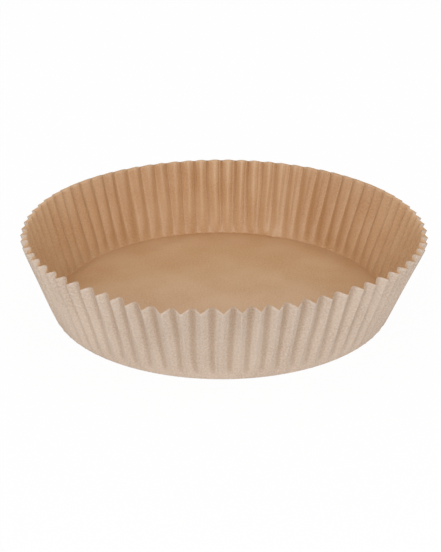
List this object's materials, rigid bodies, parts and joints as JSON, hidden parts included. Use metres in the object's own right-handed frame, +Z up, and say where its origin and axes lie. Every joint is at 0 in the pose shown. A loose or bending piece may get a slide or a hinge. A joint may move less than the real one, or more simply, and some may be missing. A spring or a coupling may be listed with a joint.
{
  "type": "round paper basket liner",
  "caption": "Round baking-paper liner for an air fryer basket: a flat floor and a low leaning wall pressed into even upright flutes, with a plain cut rim.",
  "frame": {"origin": "centre of the floor's underside, on the surface that the liner stands on", "axes": "+Z up the liner's round axis towards the open rim; +X and +Y each pass through an outer ridge of the flutes"},
  "size_m": [0.2346, 0.2346, 0.0482],
  "materials": {
    "baking_paper": "unbleached greaseproof paper, matt, tan inside and paler outside"
  },
  "bodies": {
    "root": {"paper_liner": "baking_paper"}
  },
  "joints": []
}
